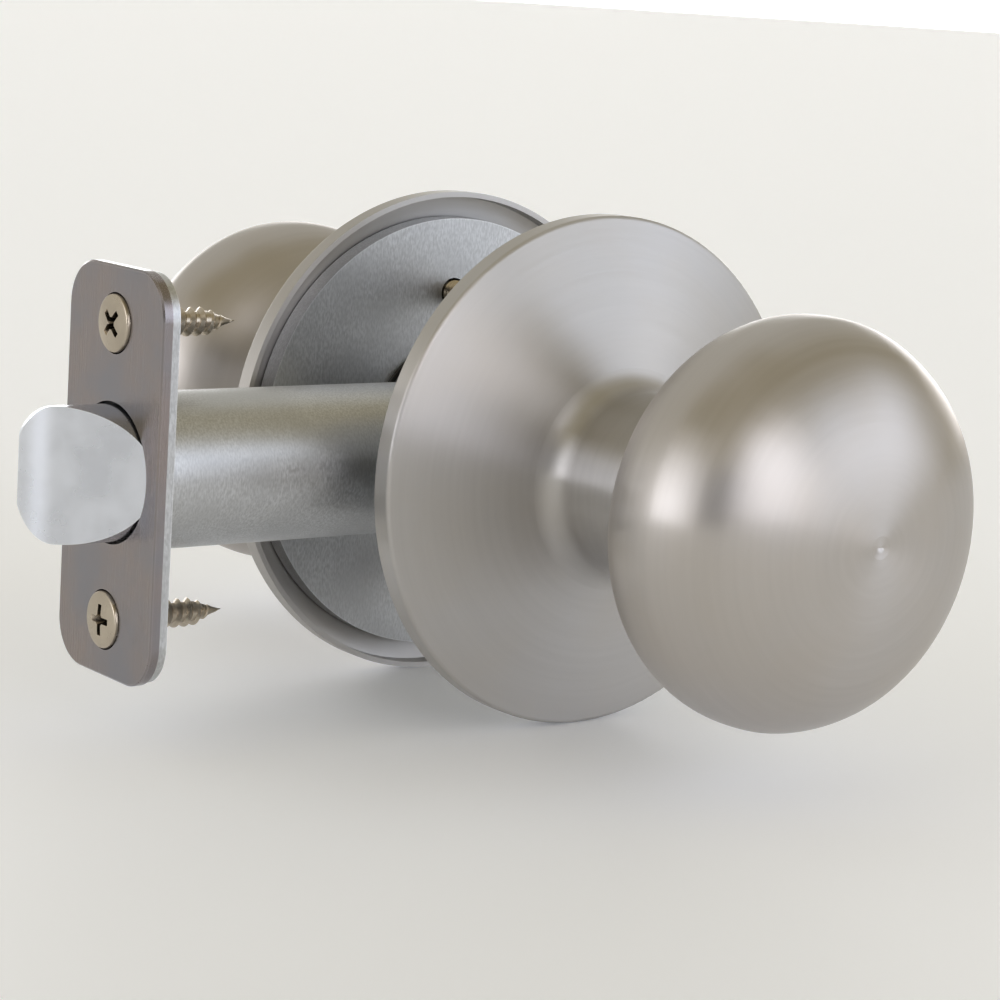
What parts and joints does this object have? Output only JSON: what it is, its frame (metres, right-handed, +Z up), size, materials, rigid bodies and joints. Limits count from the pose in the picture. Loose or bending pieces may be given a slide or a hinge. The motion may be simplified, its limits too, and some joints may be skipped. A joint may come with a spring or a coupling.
{
  "type": "door knob",
  "caption": "Round passage door knob set: two smooth mushroom knobs on conical roses, joined by a spindle that draws back a spring latch bolt in the door's edge.",
  "frame": {"origin": "on the spindle's axis, in the middle of the door's thickness", "axes": "+Z up, -Y towards the outer knob, -X towards the door's edge and the latch bolt's nose"},
  "size_m": [0.1183, 0.1584, 0.0752],
  "materials": {
    "satin_nickel": "satin, brushed round the axis",
    "bright_zinc": "bright zinc plate, softly polished",
    "plate_nickel": "satin, brushed along its length",
    "screw_nickel": "bright, warm nickel plate",
    "zinc_steel": "dull zinc plate",
    "plain_steel": "turned steel",
    "spring_steel": "oiled spring steel",
    "die_cast_zinc": "as cast",
    "nylon": "black nylon"
  },
  "bodies": {
    "root": {"outer_rose": "satin_nickel", "inner_rose": "satin_nickel", "faceplate": "plate_nickel", "upper_faceplate_screw": "screw_nickel", "lower_faceplate_screw": "screw_nickel", "through_screws": "screw_nickel", "outer_mounting_plate": "zinc_steel", "inner_mounting_plate": "zinc_steel", "mounting_posts": "zinc_steel", "latch_backplate": "zinc_steel", "latch_tube": "zinc_steel", "spring_stop": "zinc_steel", "outer_latch_case": "zinc_steel", "inner_latch_case": "zinc_steel", "case_rivets": "zinc_steel", "bolt_spring": "spring_steel", "outer_bearing": "nylon", "inner_bearing": "nylon", "bolt_guide": "nylon"},
    "knobs": {"outer_knob_shell": "satin_nickel", "outer_knob_shank": "plain_steel", "outer_knob_driver": "die_cast_zinc", "outer_retaining_ring": "spring_steel", "inner_knob_shell": "satin_nickel", "inner_knob_shank": "plain_steel", "inner_knob_driver": "die_cast_zinc", "inner_retaining_ring": "spring_steel", "spindle": "zinc_steel", "spindle_pin": "zinc_steel", "latch_hub": "die_cast_zinc"},
    "bolt": {"latch_bolt": "bright_zinc", "bolt_pin": "zinc_steel", "bolt_tail": "zinc_steel", "outer_retractor_strap": "zinc_steel", "inner_retractor_strap": "zinc_steel", "link_pin": "zinc_steel", "cross_pins": "zinc_steel"}
  },
  "joints": [
    {"name": "knob_turn", "type": "hinge", "parent": "root", "child": "knobs", "pos_m": [0, 0, 0], "axis": [0, 1, 0], "range_deg": [0, 62]},
    {"name": "bolt_slide", "type": "slide", "parent": "root", "child": "bolt", "axis": [1, 0, 0], "range_m": [0, 0.01023], "stiffness_N_per_m": 100, "springref_m": -0.01, "deforming": ["bolt_spring"]}
  ],
  "couplings": [
    {"joint": "bolt_slide", "follows": "knob_turn", "m_per_rad": 0.0094399}
  ]
}
